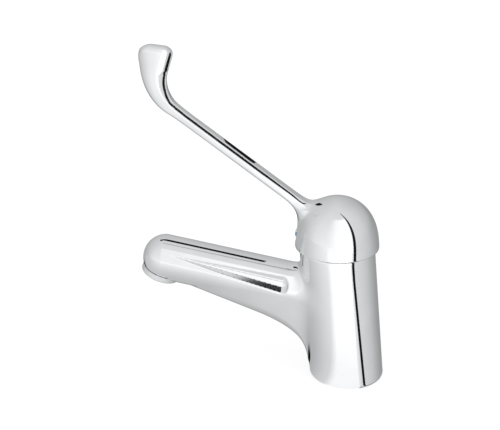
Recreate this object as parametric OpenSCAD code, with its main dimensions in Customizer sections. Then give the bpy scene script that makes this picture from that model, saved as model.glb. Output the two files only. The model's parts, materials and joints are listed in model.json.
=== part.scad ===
// Single-lever basin mixer with a long elbow lever.
// Origin: centre of the base on the deck. +Z is up and the spout points along -Y.

/* [Column] */
// Diameter of the round column
column_d = 49.2; // [47:0.2:56]
// Height of the column's top edge above the deck
column_h = 93; // [89:0.5:101]
// How far the column's top leans forward
column_lean = 9; // [5:0.5:11]
// Bevel around the foot of the column
base_bevel = 2; // [1:0.1:3]
// Bevel of the column's upper edge, inside the handle's dome when the lever is lifted
top_bevel = 1.2; // [0.5:0.1:2]

/* [Spout] */
// Radius of the spout's round upper bar
spout_r = 15.4; // [15:0.1:17]
// Upward slope of the spout in degrees
spout_rise = 8.9; // [6:0.1:11]
// Radius of the rounded web below the bar
web_r = 12.4; // [10:0.1:14]
// Slope of the web's underside in degrees
web_slope = 19.2; // [16:0.1:22]
// Length of the web's curve along the underside
web_blend = 35; // [20:1:45]
// Length of the web's curve down the column
foot_blend = 20; // [10:1:22]
// Forward distance from the base centre to the middle of the outlet
outlet_reach = 128.3; // [115:0.1:150]
// Height of the outlet face above the deck
outlet_h = 63.8; // [59:0.1:69]
// Forward tilt of the jet in degrees
outlet_tilt = 21; // [15:0.5:25]
// Diameter of the drilled waterway
waterway_d = 10; // [8:0.2:11]

/* [Scallop] */
// Length of the tapered hollow on each side of the spout
scallop_len = 73; // [50:1:78]
// Radius of the hollow at its wide end
scallop_r = 7; // [5:0.1:8]
// Depth of the hollow at its wide end
scallop_depth = 4.9; // [2:0.1:6]

/* [Lever] */
// How far the lever's dome stands out beyond the column
dome_overhang = 2.9; // [2.6:0.1:5]
// Height of the dome from rim to top
dome_h = 34; // [32:0.5:38]
// Height of the dome's tapered skirt
skirt_h = 13.7; // [8:0.1:16]
// Taper of the skirt in degrees
skirt_taper = 8.5; // [6:0.5:12]
// Wall of the dome
dome_wall = 2.3; // [1.8:0.1:3]
// Wall at the dome's rim
rim_wall = 1.5; // [1:0.1:1.6]
// Gap between the column's top edge and the dome's rim
rim_gap = 0.4; // [0.3:0.1:1]
// Slope of the arm in degrees
arm_angle = 35.5; // [32:0.5:40]
// Height above the rim where the arm's centre line meets the dome's axis
arm_aim = 11.2; // [9.5:0.1:13]
// Length of the straight arm from the dome's axis
arm_len = 132; // [100:1:150]
// Width of the arm from side to side
arm_w = 10; // [8:0.1:12]
// Thickness of the arm
arm_t = 6.6; // [5:0.1:8]
// Radius of the upward bend
bend_r = 29; // [25:1:35]
// Angle turned by the bend in degrees
bend_angle = 59; // [45:0.5:62]
// Straight length of the paddle above the bend
paddle_len = 15; // [10:0.5:30]
// Width of the paddle at its top
paddle_w = 23.5; // [16:0.5:28]
// Thickness of the paddle
paddle_t = 8.6; // [6:0.1:10]
// Corner radius of the paddle's top
paddle_corner = 6; // [3:0.5:7]
// Width of the lever's front spine
spine_w = 13; // [12:0.5:16]

/* [Cartridge] */
// Outer diameter of the cartridge
cartridge_d = 35.6; // [34:0.1:36]
// Wall of the cartridge housing
cartridge_wall = 2.4; // [2:0.1:2.8]
// Depth of the cartridge chamber below the column's top edge
chamber_depth = 46; // [44.5:0.5:46.5]
// Height of the cartridge's port plate
port_plate_h = 6; // [5:0.5:6.5]
// Diameter of the cartridge's ports
port_d = 6.4; // [5:0.1:7]
// Thickness of each ceramic disc
disc_h = 4; // [3.5:0.1:4.2]
// Diameter of the sliding ceramic disc
slide_disc_d = 21; // [20:0.2:21.4]
// Height of the disc carrier
carrier_h = 6; // [5.5:0.1:6.2]
// Height of the rotor's flange
flange_h = 10.5; // [9.5:0.1:10.8]
// Diameter of the rotor's neck
rotor_neck_d = 20; // [19:0.2:21]
// Wall of the cartridge's neck
neck_wall = 2.9; // [2:0.1:3.2]
// Height of the lift pivot above the rotor's flange
pivot_rise = 6.12; // [6:0.02:6.4]
// Diameter of the pivot pin
pivot_pin_d = 3; // [2.5:0.1:4]
// Side of the square spindle
spindle_w = 8; // [7:0.1:8.4]
// Length of the spindle above the lift pivot
spindle_len = 27; // [22:0.5:29]
// Forward tilt of the spindle at rest in degrees
spindle_tilt = 10; // [8:0.5:12]
// Diameter of the spindle's ball end
ball_d = 6; // [5:0.1:7]
// How far the nut's thread stands out beyond the cartridge
nut_step = 2.4; // [2:0.1:3]
// How far the nut's hexagon stands inside its thread, across the flats
nut_hex_inset = 6.4; // [6:0.1:8]

/* [Aerator] */
// Outer diameter of the aerator's ring
aerator_d = 26.6; // [26:0.1:28]
// Height of the aerator's ring
aerator_ring_h = 4.4; // [4:0.1:5.4]
// Thread diameter of the aerator
aerator_thread_d = 23.2; // [22:0.1:23.6]
// Length of the aerator's thread
aerator_thread_len = 7.4; // [6:0.1:8]
// Wall of the aerator's threaded sleeve
aerator_wall = 1.6; // [1.2:0.1:2]
// Thickness of the outlet grid
grid_h = 1.6; // [1.2:0.1:2]
// Width of one cell of the outlet grid
grid_cell = 3; // [2.4:0.1:4]
// Thickness of the aerator's washer
washer_h = 1.4; // [1:0.1:2]

/* [Fixings] */
// Bore of each threaded hose inlet
inlet_d = 9; // [8:0.1:9.5]
// Distance between the two hose inlets
inlet_spacing = 16; // [14:0.5:18]
// Bore of the threaded fixing hole
stud_d = 6.8; // [6:0.1:8]
// Depth of the threaded holes
thread_depth = 16; // [12:0.5:20]
// Thickness of the base gasket
gasket_h = 2; // [1.5:0.1:2.5]
// Diameter of the round index plug
plug_d = 9; // [8:0.1:10]
// How far the index plug stands out of the lever
plug_rise = 1.9; // [1:0.1:2.5]
// Diameter of each index dot
dot_d = 2.3; // [1.8:0.1:2.6]
// Diameter of the set screw
screw_d = 5; // [4:0.1:5]
// Length of the set screw
screw_len = 7; // [5:0.5:8]

/* [Hidden] */
$fn = 64;
// Gap around a running fit
run_gap = 0.08;
// Gap between pieces of different bodies
free_gap = 0.3;
// Gap around a piece that is seated and held
seat_gap = 0.1;
// Overlap that keeps cuts clear of the faces they open
cut = 0.5;

column_r = column_d / 2;
lean_angle = atan(column_lean / column_h);
dome_r = column_r + dome_overhang;
// Height of the dome's rim
rim_z = column_h + rim_gap;
// Front of the lever's spine, measured from the dome's axis
spine_front = dome_r - 1.3;

// Middle of the round spout tip, a little ahead of the outlet's axis
tip_lift = 13.4;
tip_ahead = 0.4;
tip_f = outlet_reach - tip_lift * sin(outlet_tilt) + tip_ahead;
tip_u = outlet_h + tip_lift * cos(outlet_tilt);

// Web underside: a straight line that curves down into the column
column_front = column_r / cos(lean_angle);
web_tip_u = tip_u - web_r;
corner_u = (web_tip_u + (column_front - tip_f) * tan(web_slope)) / (1 - tan(lean_angle) * tan(web_slope));
corner_f = column_front + corner_u * tan(lean_angle);
blend_start = [corner_f + web_blend * cos(web_slope), corner_u + web_blend * sin(web_slope)];
// The web's foot sinks a little into the column
foot_sink = 0.5;
blend_end = [corner_f - foot_blend * sin(lean_angle) - foot_sink, corner_u - foot_blend * cos(lean_angle)];
// Radius of the web where it fades into the column
web_end_r = 3;

// Cartridge levels, stacked from the chamber floor upwards
chamber_floor = column_h - chamber_depth;
fixed_disc_z = chamber_floor + port_plate_h;
slide_disc_z = fixed_disc_z + disc_h + run_gap;
carrier_z = slide_disc_z + disc_h;
rotor_z = carrier_z + carrier_h + free_gap;
flange_top = rotor_z + flange_h;
pivot_h = flange_top + pivot_rise;
shoulder_z = flange_top + free_gap;
shoulder_h = 1.3;
nut_z = shoulder_z + shoulder_h;
neck_rise = 4;
neck_top = pivot_h + neck_rise;
rotor_top = neck_top - cut;
nut_drop = 4.5;
nut_top = column_h - nut_drop;
nut_thread_h = 7;
limit_h = 1.6;

cartridge_r = cartridge_d / 2;
cartridge_bore_r = cartridge_r - cartridge_wall;
rotor_neck_r = rotor_neck_d / 2;
neck_bore_r = rotor_neck_r + run_gap;
neck_r = neck_bore_r + neck_wall;
nut_r = cartridge_r + nut_step;
nut_flats = 2 * nut_r - nut_hex_inset;
// Ports of the cartridge, measured from its axis
inlet_port_back = 6;
outlet_port = 8;
ports = [[-inlet_spacing / 2, inlet_port_back], [inlet_spacing / 2, inlet_port_back], [0, -outlet_port]];
// Rubber ring round each port
seal_w = 1.5;
seal_h = 1.4;
// Groove for a round seal
groove_depth = 1.2;
groove_h = 2.2;
rotor_groove_z = flange_top + 1;
housing_groove_z = fixed_disc_z + 2 * disc_h;

// Floor of the carrier's socket and the ball end that stands over it
socket_floor = 0.6;
ball_arm = pivot_h - carrier_z - socket_floor - free_gap - ball_d / 2;
ball_back = ball_arm * sin(spindle_tilt);
// Half the width between the rails that guide the carrier
carrier_half_w = slide_disc_d * 0.38;
rail_w = 1.8;

// Cover ring over the nut
cover_h = 1.5;
cover_wall = 1.4;
cover_bore_r = neck_r + 2 * free_gap;

// Set screw and index plug on the lever's front
screw_rise = 7.3;
screw_z = rim_z + screw_rise;
spindle_front = column_lean + (screw_z - pivot_h) * tan(spindle_tilt) + spindle_w / 2 / cos(spindle_tilt);
screw_start = spindle_front + screw_d / 2 * tan(spindle_tilt);
screw_end = screw_start + screw_len + 1;
plug_sink = 1;
plug_seat = column_lean + spine_front - plug_sink;
plug_edge = 1.2;
plug_crown = plug_rise + plug_sink;
dot_depth = 0.5;
stem_d = screw_d + 1;
// Underside of the boss that grips the spindle
boss_lift = 4.2;
boss_z = column_h + boss_lift;
boss_back = 6;

// Gasket groove in the base
gasket_inset = 1;
gasket_w = 4;
gasket_outer_r = column_r - base_bevel - gasket_inset;
gasket_inner_r = gasket_outer_r - gasket_w;

// Aerator levels above the outlet face
aerator_lip = 1;
lip_w = 0.9;
aerator_r = aerator_thread_d / 2 - aerator_wall;
aerator_top = aerator_ring_h + aerator_thread_len;
aerator_seat = aerator_top + washer_h + seat_gap;
washer_w = 3;
throat_r = aerator_thread_d / 2 - washer_w - cut;
throat_h = 5;

// Height of the thin band above the dome's rim and roundness of its cap, where two is a circle
rim_band = 2;
cap_shape = 1.7;

// Gap that the weld between the cap and the arm fills
weld_gap = 0.05;

// Lever path lengths
bend_len = bend_r * bend_angle * PI / 180;
path_len = arm_len + bend_len + paddle_len;
// Sides of the lever's and the spout's sections
section_sides = 28;
// Roundness of the lever's section, where two is an ellipse and more is squarer
section_shape = 2.6;

// Middle of a straight line between two values
function mix(a, b, t) = a + (b - a) * t;

// Point of a curve with one control point
function bow(a, b, c, t) = mix(mix(a, b, t), mix(b, c, t), t);

// Signed power that shapes a rounded section
function soft(v, n) = sign(v) * pow(abs(v), 2 / n);

// Closed skin through rings that have the same number of points
module skin(rings) {
    n = len(rings[0]);
    m = len(rings);
    sides = [for (i = [0:m - 2], j = [0:n - 1])
        let (a = i * n + j, b = i * n + (j + 1) % n)
        each [[a, b, b + n], [a, b + n, a + n]]];
    last = (m - 1) * n;
    ends = [for (j = [1:n - 2]) each [[0, j + 1, j], [last, last + j, last + j + 1]]];
    polyhedron([for (r = rings) each r], concat(sides, ends));
}

// Upright section at a forward place: the outline round an upper and a lower circle
function egg(f, upper, lower) = [for (k = [0:section_sides - 1])
    let (a = 360 * k / section_sides,
        c = (upper[0] - lower[0]) * cos(a) + upper[1] - lower[1] >= 0 ? upper : lower)
    [-c[1] * sin(a), -f, c[0] + c[1] * cos(a)]];

// Height of the upper bar's centre line
function bar_u(f) = tip_u - (tip_f - f) * tan(spout_rise);

// Rings of the spout from its tip back to the straight web's end
function spout_nose() = [for (a = [84:-12:12])
    let (r = spout_r * cos(a)) egg(tip_f + spout_r * sin(a), [tip_u, r], [tip_u, 0.8 * r])];
function spout_run() = [for (i = [0:6])
    let (f = mix(tip_f, blend_start[0], i / 6))
    egg(f, [bar_u(f), spout_r], [tip_u - (tip_f - f) * tan(web_slope), web_r])];

// Rings of the curved root, where the web narrows into the column
function spout_root() = [for (i = [1:8])
    let (t = i / 8, p = bow(blend_start, [corner_f, corner_u], blend_end, t),
        r = mix(web_r, web_end_r, pow(t, 2.5)))
    egg(p[0], [bar_u(p[0]), spout_r], [p[1] + r, r])];
function spout_end() = let (lower = [blend_end[1] + web_end_r, web_end_r])
    [egg(column_lean, [bar_u(column_lean), spout_r], lower)];

module along_axis() translate([0, -column_lean, 0]) children();

module at_outlet() translate([0, -outlet_reach, outlet_h]) rotate([-outlet_tilt, 0, 0]) children();

// Frame on the lift pivot with +Z along the tilted spindle
module at_spindle() translate([0, -column_lean, pivot_h]) rotate([spindle_tilt, 0, 0]) children();

// Frame on the lever's front with +Z pointing forward
module at_plug() translate([0, 0, screw_z]) rotate([90, 0, 0]) children();

module ring(outer_r, inner_r, z, h) {
    translate([0, 0, z]) difference() {
        cylinder(r = outer_r, h = h);
        translate([0, 0, -cut]) cylinder(r = inner_r, h = h + 2 * cut);
    }
}

// Round bore between two points of the plane of symmetry, each given as forward place and height
module bore_between(a, b, d) {
    run = b - a;
    translate([0, -a[0], a[1]]) rotate([atan2(run[0], run[1]), 0, 0]) cylinder(d = d, h = norm(run));
}

module column() {
    intersection() {
        rotate([lean_angle, 0, 0]) translate([0, 0, -column_r])
            cylinder(r = column_r, h = column_h + 2 * column_r);
        rotate_extrude()
            polygon([[0, 0], [column_r - base_bevel, 0], [2 * column_r, column_r + base_bevel],
                [2 * column_r, column_h + column_r], [0, column_h + column_r]]);
        along_axis() rotate_extrude()
            polygon([[0, -column_r], [2 * column_r, -column_r],
                [2 * column_r, column_h - column_r - top_bevel],
                [column_r - top_bevel, column_h], [0, column_h]]);
    }
}

module scallop() {
    start = 6;
    end = start + scallop_len;
    clock_tip = 54;
    clock_root = 75;
    point_r = 0.6;
    off = spout_r + scallop_r - scallop_depth;
    hull($fn = 32) {
        translate([spout_r * sin(clock_tip), start - tip_f, bar_u(tip_f - start) + spout_r * cos(clock_tip)])
            sphere(r = point_r);
        translate([off * sin(clock_root), end - tip_f, bar_u(tip_f - end) + off * cos(clock_root)])
            sphere(r = scallop_r);
    }
}

module mixer_body() {
    gather_drop = 9;
    gather_f = column_lean + outlet_port;
    gather_u = chamber_floor - gather_drop;
    color("silver") difference() {
        union() {
            column();
            difference() {
                skin(concat(spout_nose(), spout_run(), spout_root(), spout_end()));
                scallop();
                mirror([1, 0, 0]) scallop();
            }
        }
        // Cartridge chamber and the nut's threaded mouth
        along_axis() translate([0, 0, chamber_floor])
            cylinder(r = cartridge_r + seat_gap, h = chamber_depth + cut);
        along_axis() translate([0, 0, shoulder_z])
            cylinder(r = nut_r + seat_gap, h = column_h - shoulder_z + cut);
        // Threaded hose inlets and the waterways above them
        for (i = [0, 1]) along_axis() translate([ports[i][0], ports[i][1], -cut]) {
            cylinder(d = inlet_d, h = thread_depth + cut);
            cylinder(d = port_d, h = chamber_floor + 2 * cut);
        }
        // Threaded fixing hole
        translate([0, column_r / 2, -cut]) cylinder(d = stud_d, h = thread_depth + cut);
        // Gasket groove
        ring(gasket_outer_r, gasket_inner_r, -cut, gasket_h + cut);
        // Seat of the aerator's ring, open downwards
        at_outlet() translate([0, 0, aerator_ring_h - tip_lift])
            cylinder(r = aerator_d / 2 + seat_gap, h = tip_lift);
        // Outlet port, waterway and threaded aerator seat
        translate([0, -gather_f, gather_u]) cylinder(d = port_d, h = chamber_floor - gather_u + cut);
        bore_between([gather_f - waterway_d / 4, gather_u - 1], [tip_f, tip_u], waterway_d);
        at_outlet() translate([0, 0, aerator_ring_h - cut])
            cylinder(d = aerator_thread_d + 2 * seat_gap, h = aerator_seat - aerator_ring_h + cut);
        at_outlet() translate([0, 0, aerator_seat - cut]) cylinder(r = throat_r, h = throat_h);
    }
}

module base_gasket() {
    color("dimgray") ring(gasket_outer_r - seat_gap, gasket_inner_r + seat_gap, 0, gasket_h - seat_gap);
}

module aerator_housing() {
    r = aerator_d / 2;
    thread_r = aerator_thread_d / 2;
    lip_r = aerator_r - lip_w;
    ring_top = aerator_ring_h - seat_gap;
    round_r = 1.2;
    arc = [for (a = [0:15:90]) [r - round_r + round_r * sin(a), round_r - round_r * cos(a)]];
    color("silver") at_outlet() rotate_extrude()
        polygon(concat([[lip_r, 0]], arc, [[r, ring_top], [thread_r, ring_top], [thread_r, aerator_top],
            [aerator_r, aerator_top], [aerator_r, aerator_lip], [lip_r, aerator_lip]]));
}

module aerator_grid() {
    r = aerator_r - seat_gap;
    rows = 3;
    hole_d = grid_cell * 0.98;
    margin = grid_cell * 0.8;
    color("gainsboro") at_outlet() translate([0, 0, aerator_lip]) difference() {
        cylinder(r = r, h = grid_h);
        for (i = [-rows:rows], j = [-rows:rows])
            let (x = grid_cell * (i + j / 2), y = grid_cell * j * sqrt(3) / 2)
            if (norm([x, y]) < r - margin)
                translate([x, y, -cut]) rotate(30) cylinder(d = hole_d, h = grid_h + 2 * cut, $fn = 6);
    }
}

module aerator_insert() {
    r = aerator_r - seat_gap;
    z = aerator_lip + grid_h;
    h = aerator_top - z;
    jets = 10;
    jet_d = 1.8;
    jet_place = r * 0.6;
    cup_h = 3;
    cup_wall = 1.5;
    color("whitesmoke") at_outlet() translate([0, 0, z]) difference() {
        cylinder(r = r, h = h);
        translate([0, 0, -cut]) cylinder(r = r - cup_wall, h = cup_h + cut);
        for (k = [0:jets - 1]) rotate(360 * k / jets) translate([jet_place, 0, 0])
            cylinder(d = jet_d, h = h + cut);
    }
}

module aerator_washer() {
    r = aerator_thread_d / 2;
    color("dimgray") at_outlet() ring(r, r - washer_w, aerator_top, washer_h);
}

module port_plate() {
    color("white") along_axis() translate([0, 0, chamber_floor]) difference() {
        cylinder(r = cartridge_r, h = port_plate_h);
        for (p = ports) translate([p[0], p[1], -cut]) {
            cylinder(d = port_d, h = port_plate_h + 2 * cut);
            // Recess for the port's seal
            cylinder(r = port_d / 2 + seal_w, h = seal_h + seat_gap + cut);
        }
    }
}

module port_seals() {
    color("black") along_axis() for (p = ports) translate([p[0], p[1], chamber_floor])
        ring(port_d / 2 + seal_w - seat_gap, port_d / 2, 0, seal_h);
}

module cartridge_housing() {
    color("white") along_axis() difference() {
        union() {
            translate([0, 0, fixed_disc_z]) cylinder(r = cartridge_r, h = nut_z - fixed_disc_z);
            translate([0, 0, fixed_disc_z]) cylinder(r = neck_r, h = neck_top - fixed_disc_z);
        }
        translate([0, 0, fixed_disc_z - cut])
            cylinder(r = cartridge_bore_r, h = shoulder_z - fixed_disc_z + cut);
        translate([0, 0, fixed_disc_z]) cylinder(r = neck_bore_r, h = neck_top - fixed_disc_z + cut);
        ring(cartridge_r + cut, cartridge_r - groove_depth, housing_groove_z, groove_h);
    }
}

module cartridge_seal() {
    color("black") along_axis() ring(cartridge_r, cartridge_r - groove_depth + seat_gap,
        housing_groove_z + seat_gap, groove_h - 2 * seat_gap);
}

module fixed_disc() {
    color("ivory") along_axis() translate([0, 0, fixed_disc_z]) difference() {
        cylinder(r = cartridge_bore_r - seat_gap, h = disc_h);
        for (p = ports) translate([p[0], p[1], -cut]) cylinder(d = port_d, h = disc_h + 2 * cut);
    }
}

module retaining_nut() {
    h = nut_top - nut_z;
    color("goldenrod") along_axis() translate([0, 0, nut_z]) difference() {
        union() {
            cylinder(r = nut_r, h = nut_thread_h);
            cylinder(d = nut_flats / cos(30), h = h, $fn = 6);
        }
        translate([0, 0, -cut]) cylinder(r = neck_r + seat_gap, h = h + 2 * cut);
    }
}

module cover_ring() {
    color("silver") along_axis() union() {
        ring(nut_r, cover_bore_r, column_h - cover_h, cover_h);
        ring(cover_bore_r + cover_wall, cover_bore_r, nut_top, column_h - nut_top);
    }
}

module limit_ring() {
    color("firebrick") along_axis() ring(neck_r, rotor_neck_r + free_gap, neck_top, limit_h);
}

module rotor() {
    swing_room = 3;
    slot_w = spindle_w + 2 * free_gap;
    slot_len = spindle_w + 2 * swing_room;
    rail_in = carrier_half_w + free_gap;
    rail_len = 12;
    color("lightgray") along_axis() difference() {
        union() {
            translate([0, 0, rotor_z]) cylinder(r = cartridge_bore_r - run_gap, h = flange_h);
            translate([0, 0, rotor_z]) cylinder(r = rotor_neck_r, h = rotor_top - rotor_z);
            // Rails that guide the disc carrier
            for (side = [-1, 1])
                translate([side * (rail_in + rail_w / 2) - rail_w / 2, -rail_len / 2, carrier_z + free_gap])
                    cube([rail_w, rail_len, rotor_z - carrier_z]);
        }
        // Slot in which the spindle swings
        translate([-slot_w / 2, -slot_len / 2, carrier_z])
            cube([slot_w, slot_len, rotor_top - carrier_z + cut]);
        translate([0, 0, pivot_h]) rotate([0, 90, 0])
            cylinder(d = pivot_pin_d, h = 2 * rotor_neck_r, center = true);
        ring(rotor_neck_r + cut, rotor_neck_r - groove_depth, rotor_groove_z, groove_h);
    }
}

module rotor_seal() {
    color("black") along_axis() ring(rotor_neck_r, rotor_neck_r - groove_depth + seat_gap,
        rotor_groove_z + seat_gap, groove_h - 2 * seat_gap);
}

module pivot_pin() {
    pin_inset = 1;
    color("lightsteelblue") along_axis() translate([0, 0, pivot_h]) rotate([0, 90, 0])
        cylinder(d = pivot_pin_d, h = 2 * (rotor_neck_r - pin_inset), center = true);
}

module disc_carrier() {
    r = slide_disc_d / 2;
    color("whitesmoke") translate([0, ball_back - column_lean, carrier_z]) difference() {
        intersection() {
            cylinder(r = r, h = carrier_h);
            translate([-carrier_half_w, -r, 0]) cube([2 * carrier_half_w, 2 * r, carrier_h]);
        }
        translate([0, 0, socket_floor]) cylinder(d = ball_d + 2 * free_gap, h = carrier_h);
    }
}

module sliding_disc() {
    pocket_d = slide_disc_d * 0.55;
    color("ivory") translate([0, ball_back - column_lean, slide_disc_z]) difference() {
        cylinder(d = slide_disc_d, h = disc_h);
        // Mixing pocket in the underside
        translate([0, 0, -cut]) cylinder(d = pocket_d, h = disc_h / 2 + cut);
    }
}

module spindle() {
    half = spindle_w / 2;
    ball_neck_d = ball_d * 0.75;
    color("lightsteelblue") at_spindle() difference() {
        union() {
            translate([-half, -half, 0]) cube([spindle_w, spindle_w, spindle_len]);
            rotate([0, 90, 0]) cylinder(r = half, h = spindle_w, center = true);
            translate([0, 0, -ball_arm]) cylinder(d = ball_neck_d, h = ball_arm);
            translate([0, 0, -ball_arm]) sphere(d = ball_d);
        }
        rotate([0, 90, 0]) cylinder(d = pivot_pin_d + 2 * run_gap, h = spindle_w + 2 * cut, center = true);
    }
}

// Side outline of the dome as radius and height, inset at the rim and by a wall above it
function dome_outline(rim_in, wall_in) = let (
        low = rim_z - (rim_in > 0 ? cut : 0),
        shoulder_r = dome_r - skirt_h * tan(skirt_taper) - wall_in,
        cap_h = dome_h - skirt_h - wall_in, n = cap_shape)
    concat([[0, low], [dome_r - rim_in, low]], rim_in > 0 ? [[dome_r - rim_in, rim_z + rim_band]] : [],
        [for (a = [0:7.5:82.5]) [shoulder_r * soft(cos(a), n), rim_z + skirt_h + cap_h * soft(sin(a), n)]],
        [[0, rim_z + skirt_h + cap_h]]);

module dome(rim_in, wall_in) along_axis() rotate_extrude() polygon(dome_outline(rim_in, wall_in));

// Place on the lever's centre line as forward place and height, measured from the dome's axis
function path(s) = let (
        b = arm_angle,
        e = b + bend_angle,
        t = b + min(1, max(0, (s - arm_len) / bend_len)) * bend_angle,
        straight = min(s, arm_len),
        last = max(0, s - arm_len - bend_len))
    [column_lean + straight * cos(b) + bend_r * (sin(t) - sin(b)) + last * cos(e),
        rim_z + arm_aim + straight * sin(b) + bend_r * (cos(b) - cos(t)) + last * sin(e)];
function path_turn(s) = arm_angle + min(1, max(0, (s - arm_len) / bend_len)) * bend_angle;

// Quarter-round ease that closes a width over the last stretch of the path
function rounded_end(half, r, s) = let (d = max(0, s - path_len + r)) half - r + sqrt(max(0, r * r - d * d));

// Half-width in the plane of symmetry and half-thickness of the lever
function half_width(s) = let (flare = max(0, (s - arm_len) / (bend_len + paddle_len - paddle_corner)))
    s > path_len - paddle_corner ? rounded_end(paddle_w / 2, paddle_corner, s)
        : mix(arm_t, paddle_w, flare) / 2;
function half_thick(s) = let (
        flare = min(1, max(0, (s - arm_len) / bend_len)), h = mix(arm_w, paddle_t, flare) / 2)
    rounded_end(h, min(h - cut, paddle_corner), s);

function lever_ring(s) = let (p = path(s), a = path_turn(s), hw = half_width(s), ht = half_thick(s))
    [for (k = [0:section_sides - 1])
        let (t = 360 * k / section_sides, w = hw * soft(cos(t), section_shape))
        [ht * soft(sin(t), section_shape), -(p[0] - w * sin(a)), p[1] + w * cos(a)]];

module arm() {
    start = dome_r * 0.55;
    bends = 14;
    tips = 6;
    skin(concat([lever_ring(start), lever_ring(arm_len / 2)],
        [for (i = [0:bends]) lever_ring(mix(arm_len, path_len - paddle_corner, i / bends))],
        [for (i = [1:tips]) lever_ring(path_len - paddle_corner + paddle_corner * sin(84 * i / tips))]));
}

// Upright spine that carries the arm's underside down to the dome's rim
module spine() {
    under = path(0)[1] - arm_t / 2 / cos(arm_angle) - column_lean * tan(arm_angle);
    front = column_lean + spine_front;
    knee = [front, under + front * tan(arm_angle)];
    knee_low = 4;
    knee_high = 7;
    low = [front, knee[1] - knee_low];
    high = knee + knee_high * [cos(arm_angle), sin(arm_angle)];
    steps = 8;
    outline = concat([[column_lean + dome_r / 2, rim_z], [front, rim_z]],
        [for (i = [0:steps]) bow(low, knee, high, i / steps)],
        [high + arm_t / 4 * [-1, 1], [column_lean + dome_r / 2, knee[1]]]);
    rotate([90, 0, -90]) linear_extrude(spine_w, center = true) polygon(outline);
}

// Domed cap with its spine, hollow below, and a boss that grips the spindle
module handle_cap() {
    socket = spindle_w + 2 * seat_gap;
    color("silver") difference() {
        union() {
            difference() {
                union() {
                    dome(0, 0);
                    spine();
                }
                dome(rim_wall, dome_wall);
            }
            intersection() {
                dome(rim_wall / 2, dome_wall / 2);
                translate([-spine_w / 2, -column_lean - dome_r, boss_z])
                    cube([spine_w, dome_r + boss_back, dome_h]);
            }
        }
        at_spindle() translate([-socket / 2, -socket / 2, 0]) cube([socket, socket, spindle_len + seat_gap]);
        // Threaded screw hole, its access hole and the plug's seat
        at_plug() translate([0, 0, column_lean]) cylinder(d = screw_d, h = screw_end - column_lean);
        at_plug() translate([0, 0, screw_end - cut]) cylinder(d = stem_d, h = dome_r);
        at_plug() translate([0, 0, plug_seat]) cylinder(d = plug_d + 2 * seat_gap, h = dome_r);
    }
}

// Arm and paddle, welded on where they leave the cap
module lever_arm() {
    color("silver") difference() {
        arm();
        dome(-weld_gap, -weld_gap);
        spine();
    }
}

module set_screw() {
    key_depth = 3;
    color("gray") at_plug() translate([0, 0, screw_start]) difference() {
        cylinder(d = screw_d - 2 * seat_gap, h = screw_len);
        translate([0, 0, screw_len - key_depth]) cylinder(d = screw_d / 2, h = key_depth + cut, $fn = 6);
    }
}

// Place of an index dot on the plug's crown
module dot_place(side) {
    lift = plug_edge + (plug_crown - plug_edge) * 0.55;
    at_plug() translate([side * plug_d * 0.24, 0, plug_seat + lift]) children();
}

module index_plug() {
    r = plug_d / 2;
    stem_len = 4;
    color("white") difference() {
        at_plug() translate([0, 0, plug_seat]) union() {
            translate([0, 0, -stem_len]) cylinder(d = stem_d - 2 * seat_gap, h = stem_len);
            rotate_extrude() polygon(concat([[0, 0], [r, 0], [r, plug_edge]],
                [for (a = [10:10:90]) [r * cos(a), plug_edge + (plug_crown - plug_edge) * sin(a)]]));
        }
        for (side = [-1, 1]) dot_place(side) cylinder(d = dot_d + 2 * seat_gap, h = plug_crown);
    }
}

module cold_dot() color("royalblue") dot_place(1) cylinder(d = dot_d, h = dot_depth);

module hot_dot() color("firebrick") dot_place(-1) cylinder(d = dot_d, h = dot_depth);

mixer_body();
base_gasket();
aerator_housing();
aerator_insert();
aerator_grid();
aerator_washer();
port_plate();
port_seals();
cartridge_housing();
fixed_disc();
cartridge_seal();
retaining_nut();
cover_ring();
limit_ring();
rotor();
rotor_seal();
pivot_pin();
disc_carrier();
sliding_disc();
spindle();
handle_cap();
lever_arm();
set_screw();
index_plug();
cold_dot();
hot_dot();
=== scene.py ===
"""Looks of a single-lever basin mixer with an elbow lever: chrome shells, inner pieces and a plain studio."""
import json

import bpy
import numpy as np
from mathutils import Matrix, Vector


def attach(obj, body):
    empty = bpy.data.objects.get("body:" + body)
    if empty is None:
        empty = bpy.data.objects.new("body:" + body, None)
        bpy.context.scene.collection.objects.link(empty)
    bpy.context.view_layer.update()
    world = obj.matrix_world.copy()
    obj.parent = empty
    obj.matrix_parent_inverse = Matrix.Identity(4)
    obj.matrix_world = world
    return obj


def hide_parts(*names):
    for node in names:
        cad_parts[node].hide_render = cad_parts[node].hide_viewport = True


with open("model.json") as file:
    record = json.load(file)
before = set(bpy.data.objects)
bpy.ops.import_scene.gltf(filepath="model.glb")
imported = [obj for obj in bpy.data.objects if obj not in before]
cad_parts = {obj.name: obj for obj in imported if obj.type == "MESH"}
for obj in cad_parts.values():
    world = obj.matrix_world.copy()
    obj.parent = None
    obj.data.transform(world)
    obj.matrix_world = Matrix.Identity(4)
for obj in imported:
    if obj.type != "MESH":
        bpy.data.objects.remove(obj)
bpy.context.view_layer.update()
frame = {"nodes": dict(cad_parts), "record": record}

# Sizes in millimetres and degrees, as in the solids but for the finer forms of hollow, lever and plug
MM = 0.001
TINY = 1e-6

# Column
COLUMN_R = 24.6
COLUMN_H = 93.0
COLUMN_LEAN = 9.0
BASE_ROUND = 2.6
TOP_BEVEL = 2.2
ROOT_FILLET = 10.0

# Spout bar with its outlet and the web below it
SPOUT_R = 15.4
SPOUT_RISE = 8.9
OUTLET = (128.3, 63.8)
OUTLET_TILT = 21.0
TIP_LIFT = 13.4
TIP_AHEAD = 0.4
WEB_R = 12.4
WEB_SLOPE = 19.2
WEB_BLEND = 35.0
WEB_END_R = 3.0
WEB_TAPER_POWER = 2.5
WEB_SAMPLES = 160
FOOT_BLEND = 20.0

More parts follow.
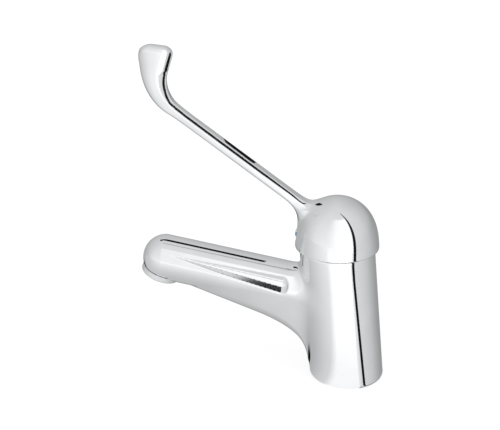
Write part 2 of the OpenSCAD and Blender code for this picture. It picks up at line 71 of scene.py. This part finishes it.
# Hollow on each side of the spout: clock angles round the bar, and each face's slope at both ends
SCALLOP_START = 6.0
SCALLOP_LEN = 79.0
SCALLOP_POINT_CLOCK = 57.0
SCALLOP_CLOCKS = (47.0, 94.0)
SCALLOP_FACES = ((105.0, 105.0), (32.3, 36.0))
SCALLOP_FILLET = 2.2
SCALLOP_END_R = 4.5
SCALLOP_EDGE = 0.6

# Seats, chamber and threaded holes in the body
AERATOR_R = 13.4
AERATOR_SEAT = 4.4
AERATOR_THREAD_R = 11.7
AERATOR_DEPTH = 13.2
CHAMBER_R = 17.9
CHAMBER_FLOOR = 47.0
MOUTH_R = 20.3
MOUTH_FLOOR = 78.2
INLET_R = 4.5
INLET_SIDE = 8.0
INLET_BACK = 6.0
STUD_R = 3.4
THREAD_DEPTH = 16.0
GASKET_RING = (17.6, 21.6)
GASKET_H = 2.0
SEAT_EDGE = 0.5

# Dome with the spine at its front and the boss inside it
RIM_Z = 93.4
RIM_WALL = 1.5
RIM_ROUND = 0.7
DOME_R = 27.5
DOME_H = 34.0
DOME_MIDDLE = 8.6
DOME_FLARE_POWER = 6
DOME_WALL = 2.3
DOME_EDGE = 0.6
SPINE_FRONT = 25.9
SPINE_BACK = 8.0
SPINE_H = 25.0
SPINE_W = 13.0
SPINE_BLEND = 3.0
SPINE_CORNER = 5.5
BOSS_Z = 97.2
BOSS_BACK = 6.0
BOSS_COVER = 1.0
PIVOT_H = 84.0
SPINDLE_TILT = 10.0
SPINDLE_W = 8.2
SOCKET_TOP = 27.0

# Arm, which is wider sideways, and paddle, which is wider in the plane of symmetry
ARM_ANGLE = 35.5
ARM_AIM = 11.2
ARM_ROOT = 5.0
ARM_LEN = 132.0
ARM_W = 10.0
ARM_T = 6.6
ARM_EDGE = 2.2
SADDLE = 12.0
BEND_R = 29.0
BEND_ANGLE = 59.0
FLARE_EASE = 6.0
FLARE_LIMIT = 1.1
PADDLE_LEN = 15.0
PADDLE_W = 23.5
PADDLE_T = 10.0
PADDLE_EDGE = 3.6
PADDLE_CROWN = (0.95, 0.25)
CROWN_POWER = 2.5
FRONT_CORNER = 11.0
BACK_CORNER = 6.5

# Narrow facet on each upper edge of the lever: place along the lever, turn, radius and depth
FACET_ROWS = (
    (20.0, 43.0, 10.0, 1.2),
    (60.0, 45.4, 40.0, 1.5),
    (96.0, 47.1, 50.0, 1.6),
    (122.0, 47.9, 55.0, 1.7),
    (131.0, 47.2, 55.0, 1.7),
    (137.0, 45.0, 50.0, 1.8),
    (146.0, 41.5, 50.0, 2.1),
    (158.0, 38.2, 50.0, 2.4),
    (175.0, 37.3, 50.0, 2.6),
)
FACET_EDGE = 0.3

# Index plug and its two dots
PLUG_Z = 100.7
PLUG_R = 4.4
PLUG_GAP = 0.8
PLUG_SEAT = 32.6
PLUG_FRONT = 36.8
PLUG_BALL = 5.0
PLUG_EDGE = 0.5
DOT_R = 1.6
DOT_TURN = 42.0
DOT_DEPTH = 0.4
DOT_GAP = 0.05
DOT_EDGE = 0.1

# Settling of a shell's points on its surface
SETTLE_ROUNDS = 4
SLOPE_REACH = 0.02
LEAST_SLOPE = 0.1


def sin(angle):
    """Sine of angles in degrees."""
    return np.sin(np.radians(angle))


def cos(angle):
    """Cosine of angles in degrees."""
    return np.cos(np.radians(angle))


def tan(angle):
    """Tangent of angles in degrees."""
    return np.tan(np.radians(angle))


def length(*parts):
    """Length of a vector that is given by its parts."""
    return np.sqrt(sum(part * part for part in parts))


def join(a, b, reach):
    """Union of two distances with a smooth fillet."""
    near = np.maximum(reach - np.abs(a - b), 0) / reach
    return np.minimum(a, b) - near**3 * reach / 6


def carve(a, b, reach):
    """The first distance with the second cut away, with a softened edge."""
    return -join(-a, b, reach)


def round_corner(a, b, r):
    """Intersection of two distances with a round edge."""
    return np.minimum(np.maximum(a, b), -r) + length(np.maximum(a + r, 0), np.maximum(b + r, 0))


def rod(x, forward, up, r, top):
    """Distance to an upright cylinder that reaches below the deck."""
    return np.maximum(length(x, forward) - r, up - top)


TIP = (OUTLET[0] - TIP_LIFT * sin(OUTLET_TILT) + TIP_AHEAD, OUTLET[1] + TIP_LIFT * cos(OUTLET_TILT))
LEAN = np.degrees(np.arctan2(COLUMN_LEAN, COLUMN_H))


def bar_height(forward):
    """Height of the spout bar's centre line."""
    return TIP[1] - (TIP[0] - forward) * tan(SPOUT_RISE)


def web_curve():
    """Forward place, centre height and radius of the web, from the column out to the spout's tip."""
    front = COLUMN_R / cos(LEAN)
    low_u = TIP[1] - WEB_R
    slope = tan(WEB_SLOPE)
    corner_u = (low_u + (front - TIP[0]) * slope) / (1 - tan(LEAN) * slope)
    corner = np.array([front + corner_u * tan(LEAN), corner_u])
    start = corner + WEB_BLEND * np.array([cos(WEB_SLOPE), sin(WEB_SLOPE)])
    end = corner - FOOT_BLEND * np.array([sin(LEAN), cos(LEAN)])
    t = np.linspace(1, 0, WEB_SAMPLES)[:, None]
    curve = (1 - t) ** 2 * start + 2 * t * (1 - t) * corner + t**2 * end
    radius = WEB_R + (WEB_END_R - WEB_R) * t[:, 0] ** WEB_TAPER_POWER
    forward = np.append(curve[:, 0], TIP[0])
    centre = np.append(curve[:, 1] + radius, TIP[1])
    return forward, centre, np.append(radius, WEB_R)


WEB = web_curve()


def spout_distance(x, forward, up):
    """Outline round an upper bar and a lower web in each upright section, closed by a round tip."""
    place = np.clip(forward, COLUMN_LEAN, TIP[0])
    x = length(x, forward - place)
    upper = bar_height(place)
    lower = np.interp(place, WEB[0], WEB[1])
    lower_r = np.interp(place, WEB[0], WEB[2])
    drop = np.maximum(upper - lower, TINY)
    inner = drop <= SPOUT_R - lower_r
    lean = np.where(inner, 0, (SPOUT_R - lower_r) / drop)
    flat = np.sqrt(1 - lean**2)
    down = upper - up
    along = -lean * x + flat * down
    side = flat * x + lean * down - SPOUT_R
    below = length(x, down - drop) - lower_r
    outline = np.where(along > flat * drop, below, side)
    return np.where((along < 0) | inner, length(x, down) - SPOUT_R, outline)


def scallop_distance(x, forward, up):
    """Tapered hollow between an upper wall and a lower ledge, from a point near the tip to a round end."""
    back = TIP[0] - forward - SCALLOP_START
    share = np.clip(back / SCALLOP_LEN, 0, 1)
    above = up - bar_height(forward)
    faces = []
    for clock, (first, last) in zip(SCALLOP_CLOCKS, SCALLOP_FACES):
        face = first + (last - first) * share
        lip_x = SPOUT_R * (sin(SCALLOP_POINT_CLOCK) * (1 - share) + sin(clock) * share)
        lip_up = SPOUT_R * (cos(SCALLOP_POINT_CLOCK) * (1 - share) + cos(clock) * share)
        faces.append((lip_x - x) * sin(face) + (lip_up - above) * cos(face))
    hollow = round_corner(*faces, SCALLOP_FILLET * share)
    return round_corner(hollow, back - SCALLOP_LEN, SCALLOP_END_R)


def outlet_frame(x, forward, up):
    """Distance from the outlet's axis and height above the outlet face."""
    ahead = forward - OUTLET[0]
    above = up - OUTLET[1]
    height = above * cos(OUTLET_TILT) - ahead * sin(OUTLET_TILT)
    return length(x, ahead * cos(OUTLET_TILT) + above * sin(OUTLET_TILT)), height


def body_distance(p):
    """Distance to the body: leaning column, spout with its two hollows, seats, chamber and threaded holes."""
    x = np.abs(p[:, 0])
    forward = -p[:, 1]
    up = p[:, 2]
    column = length(x, forward * cos(LEAN) - up * sin(LEAN)) - COLUMN_R
    spout = carve(spout_distance(x, forward, up), scallop_distance(x, forward, up), SCALLOP_EDGE)
    solid = round_corner(join(column, spout, ROOT_FILLET), -up, BASE_ROUND)
    solid = round_corner(solid, up - COLUMN_H, TOP_BEVEL)
    away, height = outlet_frame(x, forward, up)
    from_axis = length(x, forward - COLUMN_LEAN)
    from_base = length(x, forward)
    groove = np.maximum(GASKET_RING[0] - from_base, from_base - GASKET_RING[1])
    cuts = (
        np.maximum(away - AERATOR_R, height - AERATOR_SEAT),
        np.maximum(away - AERATOR_THREAD_R, height - AERATOR_DEPTH),
        np.maximum(from_axis - CHAMBER_R, CHAMBER_FLOOR - up),
        np.maximum(from_axis - MOUTH_R, MOUTH_FLOOR - up),
        rod(x - INLET_SIDE, forward - COLUMN_LEAN + INLET_BACK, up, INLET_R, THREAD_DEPTH),
        rod(x, forward + COLUMN_R / 2, up, STUD_R, THREAD_DEPTH),
        np.maximum(groove, up - GASKET_H),
    )
    for hollow in cuts:
        solid = carve(solid, hollow, SEAT_EDGE)
    return solid


BEND_LEN = BEND_R * np.radians(BEND_ANGLE)
PATH_LEN = ARM_LEN + BEND_LEN + PADDLE_LEN


def lever_path(forward, up):
    """Length along the lever's centre line and height above it, in the plane of symmetry."""
    ahead = forward - COLUMN_LEAN
    above = up - RIM_Z - ARM_AIM
    run = ahead * cos(ARM_ANGLE) + above * sin(ARM_ANGLE) - ARM_LEN
    rise = above * cos(ARM_ANGLE) - ahead * sin(ARM_ANGLE) - BEND_R
    turn = np.arctan2(run, -rise)
    whole = np.radians(BEND_ANGLE)
    last_run = run * cos(BEND_ANGLE) + rise * sin(BEND_ANGLE)
    last_rise = rise * cos(BEND_ANGLE) - run * sin(BEND_ANGLE)
    along = np.where(turn < 0, run, BEND_R * turn)
    above = np.where(turn < 0, rise, -length(run, rise))
    along = np.where(turn > whole, BEND_LEN + last_run, along)
    above = np.where(turn > whole, last_rise, above)
    return along + ARM_LEN, above + BEND_R


def facet_distance(x, above, along, half_wide, half_deep):
    """Distance to a large round bar along the lever, which leaves a narrow facet on the upper edge."""
    places, turns, radii, depths = zip(*FACET_ROWS)
    turn = np.interp(along, places, turns)
    r = np.interp(along, places, radii)
    back = np.interp(along, places, depths) + r
    return length(x - half_wide + back * cos(turn), above - half_deep + back * sin(turn)) - r


def arm_distance(x, forward, up):
    """Flat arm that bends up and flares into a crowned paddle with rounded corners."""
    along, above = lever_path(forward, up)
    past = along - ARM_LEN
    flare = (past + length(past, FLARE_EASE)) / 2 / (BEND_LEN + PADDLE_LEN - BACK_CORNER)
    grown = np.clip(past / BEND_LEN, 0, 1)
    grown = grown**2 * (3 - 2 * grown)
    half_deep = (ARM_T + (PADDLE_W - ARM_T) * np.minimum(flare, FLARE_LIMIT)) / 2
    half_wide = (ARM_W + (PADDLE_T - ARM_W) * grown) / 2
    edge = ARM_EDGE + (PADDLE_EDGE - ARM_EDGE) * grown
    corner = np.where(above < 0, FRONT_CORNER, BACK_CORNER)
    outline = round_corner(np.abs(above) - half_deep, along - PATH_LEN, corner)
    front, back = PADDLE_CROWN
    crown = np.where(above < 0, front, back) * grown
    crowned = half_wide * (1 - crown * np.minimum(np.abs(above) / half_deep, 1) ** CROWN_POWER)
    solid = round_corner(outline, x - crowned, edge)
    facet = facet_distance(x, above, along, half_wide * (1 - back * grown), half_deep)
    return carve(solid, -facet, FACET_EDGE)


def rim_flare(angle):
    """How far the rim's flare has grown at an angle from the dome's top, from 0 to 1."""
    rim_angle = np.pi / 2 + np.arctan2(DOME_MIDDLE, DOME_R)
    return (angle / rim_angle) ** DOME_FLARE_POWER


def handle_distance(p):
    """Distance to the handle: hollow dome with its spine and boss, arm and paddle in one piece."""
    x = np.abs(p[:, 0])
    forward = -p[:, 1]
    up = p[:, 2]
    ahead = forward - COLUMN_LEAN
    above = up - RIM_Z - DOME_MIDDLE
    away = length(x, ahead)
    flare = rim_flare(np.arctan2(away, above))
    top_r = DOME_H - DOME_MIDDLE
    outer_r = top_r + (length(DOME_R, DOME_MIDDLE) - top_r) * flare
    dome = length(away, above) - outer_r
    hollow = dome + DOME_WALL + (RIM_WALL - DOME_WALL) * flare
    arm = np.maximum(arm_distance(x, forward, up), ARM_ROOT - ahead)
    spine = round_corner(x - SPINE_W / 2, ahead - SPINE_FRONT, SPINE_CORNER)
    spine = np.maximum(np.maximum(spine, SPINE_BACK - ahead), up - RIM_Z - SPINE_H)
    solid = join(join(dome, spine, SPINE_BLEND), arm, SADDLE)
    solid = round_corner(solid, RIM_Z - up, RIM_ROUND)
    solid = carve(solid, hollow, DOME_EDGE)
    boss = np.maximum(x - SPINE_W / 2, -BOSS_BACK - ahead)
    boss = np.maximum(boss, np.maximum(BOSS_Z - up, dome + BOSS_COVER))
    solid = np.minimum(solid, boss)
    lift = up - PIVOT_H
    across = np.abs(ahead * cos(SPINDLE_TILT) - lift * sin(SPINDLE_TILT)) - SPINDLE_W / 2
    socket = np.maximum(np.maximum(across, x - SPINDLE_W / 2), lift - SOCKET_TOP)
    plug = np.maximum(length(x, up - PLUG_Z) - PLUG_R - PLUG_GAP, PLUG_SEAT - forward)
    return carve(carve(solid, socket, SEAT_EDGE), plug, SEAT_EDGE)


def crown_frame(p):
    """Distances from the plug's crown and from the axis of the nearer dot."""
    x = np.abs(p[:, 0])
    above = p[:, 2] - PLUG_Z
    ahead = -p[:, 1] - PLUG_FRONT + PLUG_BALL
    crown = length(x, ahead, above) - PLUG_BALL
    return crown, length(x * cos(DOT_TURN) - ahead * sin(DOT_TURN), above)


def plug_distance(p):
    """Distance to the index plug: a crowned button with two shallow seats for the dots."""
    crown, from_dot = crown_frame(p)
    side = length(p[:, 0], p[:, 2] - PLUG_Z) - PLUG_R
    solid = np.maximum(round_corner(crown, side, PLUG_EDGE), PLUG_SEAT + p[:, 1])
    return np.maximum(solid, -np.maximum(from_dot - DOT_R - DOT_GAP, -crown - DOT_DEPTH - DOT_GAP))


def dot_distance(p):
    """Distance to the two dots that fill their seats in the crown."""
    crown, from_dot = crown_frame(p)
    return np.maximum(round_corner(crown, from_dot - DOT_R, DOT_EDGE), -crown - DOT_DEPTH)


def surface_nets(distance, low, high, step):
    """Closed quad mesh of a distance's zero level, with one point in each crossed cell."""
    counts = np.ceil((np.array(high) - np.array(low)) / step).astype(int) + 1
    axes = [low[i] + step * np.arange(counts[i]) for i in range(3)]
    y, z = np.meshgrid(axes[1], axes[2], indexing="ij")
    values = np.empty(counts)
    for i, x in enumerate(axes[0]):
        layer = np.stack([np.full(y.size, x), y.ravel(), z.ravel()], axis=1)
        values[i] = distance(layer).reshape(y.shape)
    inside = values < 0
    cells, places, quads = [], [], []
    for axis in range(3):
        start = np.argwhere(np.diff(inside, axis=axis))
        end = start + np.eye(3, dtype=int)[axis]
        first = values[tuple(start.T)]
        share = first / (first - values[tuple(end.T)])
        crossing = start + share[:, None] * np.eye(3)[axis]
        side, other = np.eye(3, dtype=int)[[(axis + 1) % 3, (axis + 2) % 3]]
        around = [start, start - side, start - side - other, start - other]
        ids = np.stack([np.ravel_multi_index(tuple(cell.T), counts) for cell in around], axis=1)
        leaving = inside[tuple(start.T)]
        quads.append(np.where(leaving[:, None], ids, ids[:, ::-1]))
        cells.append(ids.ravel())
        places.append(np.repeat(crossing, 4, axis=0))
    used, index = np.unique(np.concatenate(cells), return_inverse=True)
    places = np.concatenate(places)
    total = np.bincount(index)
    points = np.stack([np.bincount(index, places[:, i]) / total for i in range(3)], axis=1)
    return np.array(low) + step * points, np.searchsorted(used, np.concatenate(quads))


def slope(distance, points):
    """Steepest direction of a distance at each point."""
    steps = np.eye(3) * SLOPE_REACH
    rises = [distance(points + step) - distance(points - step) for step in steps]
    return np.stack(rises, axis=1) / (2 * SLOPE_REACH)


def add_mesh(name, points, faces):
    """New mesh object in the scene."""
    mesh = bpy.data.meshes.new(name)
    mesh.from_pydata(points, [], faces)
    piece = bpy.data.objects.new(name, mesh)
    bpy.context.scene.collection.objects.link(piece)
    return piece


def make_shell(name, distance, low, high, step):
    """Mesh object of a distance, settled on its surface, with normals taken from the distance itself."""
    points, quads = surface_nets(distance, low, high, step)
    for _ in range(SETTLE_ROUNDS):
        normal = slope(distance, points)
        move = distance(points) / np.maximum((normal**2).sum(1), LEAST_SLOPE)
        points = points - np.clip(move, -step, step)[:, None] * normal
    normal = slope(distance, points)
    normal /= np.linalg.norm(normal, axis=1)[:, None]
    shell = add_mesh(name, (points * MM).tolist(), quads.tolist())
    shell.data.shade_smooth()
    shell.data.normals_split_custom_set_from_vertices(normal.tolist())
    return shell


# Shells over the visible solids, each found on a grid of its own step in a box round its piece
body_shell = make_shell("body_shell", body_distance, (-26, -145, -1), (26, 27, 95), 0.8)
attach(body_shell, "body")
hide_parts("mixer_body")

handle_shell = make_shell("handle_shell", handle_distance, (-29, -145, 92), (29, 20, 224), 0.65)
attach(handle_shell, "lever")
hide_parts("handle_cap", "lever_arm")

plug_shell = make_shell("plug_shell", plug_distance, (-5, -37.5, 95.5), (5, -32, 106), 0.25)
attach(plug_shell, "lever")
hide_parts("index_plug")

dot_shells = {}
for node, slot, side in (("cold_dot", "index_blue", 1), ("hot_dot", "index_red", -1)):
    low_x, high_x = sorted((1.0 * side, 5.5 * side))
    shell = make_shell(f"{node}_shell", dot_distance, (low_x, -37.5, 98.5), (high_x, -33, 103), 0.15)
    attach(shell, "lever")
    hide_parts(node)
    dot_shells[slot] = shell


NOISE_DETAIL = 4.0
NOISE_RANGE = (0.3, 0.7)
RELIEF_DEPTH = 0.0002


def put(tree, socket, value):
    """Sets a socket, or links it where the value is another socket."""
    if isinstance(value, bpy.types.NodeSocket):
        tree.links.new(value, socket)
    else:
        socket.default_value = value


def add_node(tree, kind, **inputs):
    """New shader node with its inputs set or linked by name."""
    node = tree.nodes.new(kind)
    for name, value in inputs.items():
        put(tree, node.inputs[name.replace("_", " ")], value)
    return node


def make_material(name, dark, light, metallic, roughness, grain, bump):
    """Material whose colour, roughness and fine relief vary with a noise in the object's own space."""
    material = bpy.data.materials.new(name)
    material.use_nodes = True
    tree = material.node_tree
    shader = tree.nodes["Principled BSDF"]
    shader.inputs["Metallic"].default_value = metallic
    place = tree.nodes.new("ShaderNodeTexCoord").outputs["Object"]
    noise = add_node(tree, "ShaderNodeTexNoise", Vector=place, Scale=grain, Detail=NOISE_DETAIL)
    noise = noise.outputs["Fac"]
    colour = add_node(tree, "ShaderNodeValToRGB", Fac=noise)
    for stop, position, tint in zip(colour.color_ramp.elements, NOISE_RANGE, (dark, light)):
        stop.position = position
        stop.color = (*tint, 1)
    put(tree, shader.inputs["Base Color"], colour.outputs["Color"])
    rough = add_node(tree, "ShaderNodeMapRange", Value=noise, To_Min=roughness[0], To_Max=roughness[1])
    put(tree, shader.inputs["Roughness"], rough.outputs["Result"])
    relief = add_node(tree, "ShaderNodeBump", Height=noise, Strength=bump, Distance=RELIEF_DEPTH)
    put(tree, shader.inputs["Normal"], relief.outputs["Normal"])
    return material


# Finish of each slot: dark and light tint, metallic, range of roughness, grain per metre and bump
MATERIALS = {
    "chrome": ((0.78, 0.79, 0.8), (0.82, 0.83, 0.84), 1.0, (0.03, 0.06), 60.0, 0.02),
    "rubber": ((0.03, 0.03, 0.033), (0.06, 0.06, 0.065), 0.0, (0.6, 0.8), 900.0, 0.4),
    "insert_plastic": ((0.8, 0.81, 0.82), (0.88, 0.89, 0.9), 0.0, (0.4, 0.55), 700.0, 0.15),
    "grid_plastic": ((0.66, 0.68, 0.7), (0.76, 0.78, 0.8), 0.0, (0.35, 0.5), 700.0, 0.15),
    "cartridge_plastic": ((0.85, 0.85, 0.83), (0.92, 0.92, 0.9), 0.0, (0.4, 0.55), 700.0, 0.15),
    "rotor_plastic": ((0.5, 0.52, 0.55), (0.6, 0.62, 0.65), 0.0, (0.4, 0.55), 700.0, 0.15),
    "limit_plastic": ((0.5, 0.06, 0.05), (0.65, 0.11, 0.08), 0.0, (0.4, 0.55), 700.0, 0.15),
    "ceramic": ((0.9, 0.88, 0.83), (0.95, 0.93, 0.89), 0.0, (0.12, 0.2), 500.0, 0.03),
    "brass": ((0.66, 0.5, 0.22), (0.76, 0.61, 0.32), 1.0, (0.2, 0.35), 400.0, 0.1),
    "steel": ((0.55, 0.56, 0.58), (0.67, 0.68, 0.7), 1.0, (0.2, 0.35), 500.0, 0.1),
    "index_white": ((0.86, 0.86, 0.86), (0.93, 0.93, 0.93), 0.0, (0.12, 0.2), 300.0, 0.03),
    "index_blue": ((0.02, 0.28, 0.68), (0.03, 0.36, 0.8), 0.0, (0.15, 0.25), 300.0, 0.03),
    "index_red": ((0.68, 0.04, 0.03), (0.8, 0.07, 0.05), 0.0, (0.15, 0.25), 300.0, 0.03),
}
finishes = {slot: make_material(slot, *values) for slot, values in MATERIALS.items()}
for part in frame["record"]["subparts"]:
    skin = frame["nodes"][part["node"]].data.materials
    skin.clear()
    skin.append(finishes[part["material_slot"]])
dressed = [("chrome", body_shell), ("chrome", handle_shell), ("index_white", plug_shell), *dot_shells.items()]
for slot, shell in dressed:
    shell.data.materials.append(finishes[slot])


# Studio: a pale room, a table that glows with painted light and painted shadow in reflections, a soft white
# screen beside the camera and two narrow dark flags
CAMERA_TURN = 10.0
WHITE = (1, 1, 1, 1)
DARK = (0.01, 0.01, 0.01, 1)
FLAG_LEVEL = 0.01
SHEET_POINTS = 25
TABLE_POINTS = 40

# Tones and fades, each beside its turn or height in degrees, or its rise or reach in metres
ROOM_TONES = (
    (-180, 0.5), (-150, 0.5), (-130, 0.54), (-110, 0.62), (-90, 0.76), (-70, 0.95), (-45, 1.05), (38, 1.05),
    (47, 0.85), (70, 0.77), (90, 0.67), (110, 0.52), (130, 0.41), (150, 0.36), (165, 0.42), (180, 0.5),
)
LOW_TONES = ((-90, 0.62), (-60, 0.72), (-40, 0.88), (-20, 1), (90, 1))
TOP_TONE = (0.85, 0.85, 0.85, 1)
RISE_TONES = ((0, 0), (18, 0.35), (85, 1))
LEFT_SEAM_TURN = ((-166, 0), (-158, 1), (-144, 1), (-132, 0))
LEFT_SEAM_HEIGHT = ((-44, 0), (-38, 1), (-28, 1), (-21, 0))
SCREEN_R = 0.6
SCREEN_TURN = (-44, 38)
SCREEN_TONES = ((-44, 1.05), (0, 1.25), (38, 1.25))
SCREEN_SIDE = ((-44, 0), (-14, 1), (38, 1))
SCREEN_FADE = ((0, 1), (1.2, 1), (1.5, 0))
FLAG_R = 0.23
FLAG_TURN = (38, 45.5)
FLAG_FADE = ((-0.25, 1), (1.9, 1), (2.3, 0))
TABLE_R = 3.0
TABLE_TURN = (-111, 34)
# Table glow seen only in reflections: painted light, brighter towards the camera's side, and painted shadow,
# darker near the tap's axis
TABLE_PAINTED_LIGHT = ((-111, 0.66), (-90, 0.72), (-70, 0.83), (-50, 0.95), (-32, 1.05), (-15, 1.5), (34, 1.5))
TABLE_PAINTED_SHADOW = ((0, 0.7), (0.06, 0.8), (0.1, 0.87), (0.2, 0.95), (0.4, 1), (3, 1.05))

# Sideways lean of the upright flag below the table, in degrees per metre
FLAG_LEAN = 120.0

# Corners of the flag above the spout in millimetres: forward, sideways and above the bar's centre line
ROOF_FLAG = ((50, -51, 91.5), (50, -31, 102.5), (175, -31, 102.5), (175, -51, 91.5))

# Floor, and the camera at the photograph's viewing angle, in metres, with its lens in millimetres
FLOOR_HALF = 3.0
FLOOR_COLOUR = (0.42, 0.42, 0.42, 1)
FLOOR_GLOW = (0.72, 0.72, 0.72, 1)
CAMERA_AT = Vector((0.7053, 0.0577, 0.4149))
CAMERA_TO = Vector((0.0, -0.06662, 0.11094))
CAMERA_SENSOR = 36
CAMERA_LENS = 85.68


def add_ramp(tree, value, tones):
    """Grey ramp over a range of values, with its tones at the given places."""
    low = tones[0][0]
    high = tones[-1][0]
    share = add_node(tree, "ShaderNodeMapRange", Value=value, From_Min=low, From_Max=high)
    ramp = add_node(tree, "ShaderNodeValToRGB", Fac=share.outputs["Result"])
    stops = ramp.color_ramp.elements
    for place, _ in tones[1:-1]:
        stops.new((place - low) / (high - low))
    for stop, (place, tone) in zip(stops, tones):
        stop.position = (place - low) / (high - low)
        stop.color = (tone, tone, tone, 1)
    return ramp.outputs["Color"]


def add_math(tree, operation, *values):
    """Math node on sockets or numbers."""
    node = tree.nodes.new("ShaderNodeMath")
    node.operation = operation
    for socket, value in zip(node.inputs, values):
        put(tree, socket, value)
    return node.outputs[0]


def add_mix(tree, share, first, second):
    """Blend of two colours, by the sockets that the node keeps for colours."""
    node = tree.nodes.new("ShaderNodeMix")
    node.data_type = "RGBA"
    for index, value in ((0, share), (6, first), (7, second)):
        put(tree, node.inputs[index], value)
    return node.outputs[2]


def add_angles(tree, vector):
    """Turn from the camera's side and height above the horizon in degrees, rise and reach in metres."""
    turned = add_node(tree, "ShaderNodeVectorRotate", Vector=vector, Angle=np.radians(-CAMERA_TURN))
    parts = add_node(tree, "ShaderNodeSeparateXYZ", Vector=turned.outputs["Vector"]).outputs
    turn = add_math(tree, "DEGREES", add_math(tree, "ARCTAN2", parts["Y"], parts["X"]))
    height = add_math(tree, "DEGREES", add_math(tree, "ARCSINE", parts["Z"]))
    reach = add_node(tree, "ShaderNodeVectorMath", Vector=vector)
    reach.operation = "LENGTH"
    return {"turn": turn, "height": height, "rise": parts["Z"], "reach": reach.outputs["Value"]}


def add_product(tree, place, ramps, level=1.0):
    """A level times ramps over named measures of a place."""
    for which, tones in ramps.items():
        level = add_math(tree, "MULTIPLY", add_ramp(tree, place[which], tones), level)
    return level


scene = bpy.context.scene
scene.view_settings.view_transform = "Standard"
world = bpy.data.worlds.new("studio")
scene.world = world
world.use_nodes = True
sky = world.node_tree
way = add_angles(sky, sky.nodes.new("ShaderNodeTexCoord").outputs["Generated"])
low_tone = add_ramp(sky, way["height"], LOW_TONES)
around = add_mix(sky, low_tone, DARK, add_ramp(sky, way["turn"], ROOM_TONES))
room = add_mix(sky, add_ramp(sky, way["height"], RISE_TONES), around, TOP_TONE)
left_seam = add_product(sky, way, {"turn": LEFT_SEAM_TURN, "height": LEFT_SEAM_HEIGHT})
room = add_mix(sky, left_seam, room, DARK)
seen = sky.nodes.new("ShaderNodeLightPath").outputs["Is Camera Ray"]
put(sky, sky.nodes["Background"].inputs["Color"], add_mix(sky, seen, room, WHITE))


def add_stage(name, points, faces):
    """Piece of studio equipment that shows only in reflections."""
    piece = add_mesh(name, points, faces)
    piece.visible_camera = False
    piece.visible_diffuse = False
    piece.visible_transmission = False
    piece.visible_shadow = False
    return piece


def add_glow(piece, tones, fades, level=1.0):
    """Light from a stage piece: its tone and its soft edges are products of ramps over named measures."""
    material = bpy.data.materials.new(piece.name)
    material.use_nodes = True
    tree = material.node_tree
    tree.nodes.clear()
    place = add_angles(tree, tree.nodes.new("ShaderNodeTexCoord").outputs["Object"])
    glow = add_node(tree, "ShaderNodeEmission", Strength=add_product(tree, place, tones, level))
    clear = tree.nodes.new("ShaderNodeBsdfTransparent")
    mix = add_node(tree, "ShaderNodeMixShader", Fac=add_product(tree, place, fades))
    put(tree, mix.inputs[1], clear.outputs[0])
    put(tree, mix.inputs[2], glow.outputs[0])
    add_node(tree, "ShaderNodeOutputMaterial", Surface=mix.outputs[0])
    piece.data.materials.append(material)


def arc(r, turns, count, z, shift=0.0):
    """Points at an even distance from the tap's axis, between two turns from the camera's side."""
    angles = np.radians(np.linspace(*turns, count) + CAMERA_TURN + shift)
    return [(r * np.cos(angle), r * np.sin(angle), z) for angle in angles]


def curved_sheet(name, r, turns, rises, lean=0.0):
    """Upright sheet at an even distance from the tap's axis, leaning sideways below the table."""
    points = []
    for z in rises:
        points += arc(r, turns, SHEET_POINTS, z, -lean * min(z, 0))
    faces = []
    for row in range(len(rises) - 1):
        for low in range(row * SHEET_POINTS, (row + 1) * SHEET_POINTS - 1):
            faces.append((low, low + 1, low + SHEET_POINTS + 1, low + SHEET_POINTS))
    sheet = add_stage(name, points, faces)
    sheet.location = (0, -COLUMN_LEAN * MM, 0)
    return sheet


screen = curved_sheet("screen", SCREEN_R, SCREEN_TURN, (SCREEN_FADE[0][0], SCREEN_FADE[-1][0]))
add_glow(screen, {"turn": SCREEN_TONES}, {"turn": SCREEN_SIDE, "rise": SCREEN_FADE})
flag = curved_sheet("flag", FLAG_R, FLAG_TURN, (FLAG_FADE[0][0], 0, FLAG_FADE[-1][0]), FLAG_LEAN)
add_glow(flag, {}, {"rise": FLAG_FADE}, FLAG_LEVEL)
corners = [(x * MM, -forward * MM, (bar_height(forward) + above) * MM) for forward, x, above in ROOF_FLAG]
roof_flag = add_stage("roof_flag", corners, [(0, 1, 2, 3)])
add_glow(roof_flag, {}, {}, FLAG_LEVEL)
# Glowing table as the lit floor in reflections, with painted light and a painted shadow near the tap
corners = [(0, 0, 0)] + arc(TABLE_R, TABLE_TURN, TABLE_POINTS, 0)
table = add_stage("table", corners, [(0, low, low + 1) for low in range(1, TABLE_POINTS)])
table.location = (0, -COLUMN_LEAN * MM, -MM)
add_glow(table, {"turn": TABLE_PAINTED_LIGHT, "reach": TABLE_PAINTED_SHADOW}, {})

# Pale floor: white to the camera, with a soft shadow, and open to reflections of the table and room
corners = [(x * FLOOR_HALF, y * FLOOR_HALF, 0) for x, y in ((-1, -1), (1, -1), (1, 1), (-1, 1))]
floor = add_mesh("floor", corners, [(0, 1, 2, 3)])
floor.visible_glossy = False
floor_paint = bpy.data.materials.new("floor")
floor_paint.use_nodes = True
paint = floor_paint.node_tree
floor_shader = paint.nodes["Principled BSDF"]
floor_shader.inputs["Base Color"].default_value = FLOOR_COLOUR
floor_shader.inputs["Roughness"].default_value = 1
floor_shader.inputs["Specular IOR Level"].default_value = 0
floor_shader.inputs["Emission Color"].default_value = FLOOR_GLOW
seen = paint.nodes.new("ShaderNodeLightPath").outputs["Is Camera Ray"]
put(paint, floor_shader.inputs["Emission Strength"], seen)
floor.data.materials.append(floor_paint)

camera = bpy.data.objects.new("camera", bpy.data.cameras.new("camera"))
scene.collection.objects.link(camera)
camera.location = CAMERA_AT
camera.rotation_euler = (CAMERA_TO - CAMERA_AT).to_track_quat("-Z", "Y").to_euler()
camera.data.sensor_width = CAMERA_SENSOR
camera.data.lens = CAMERA_LENS
scene.camera = camera
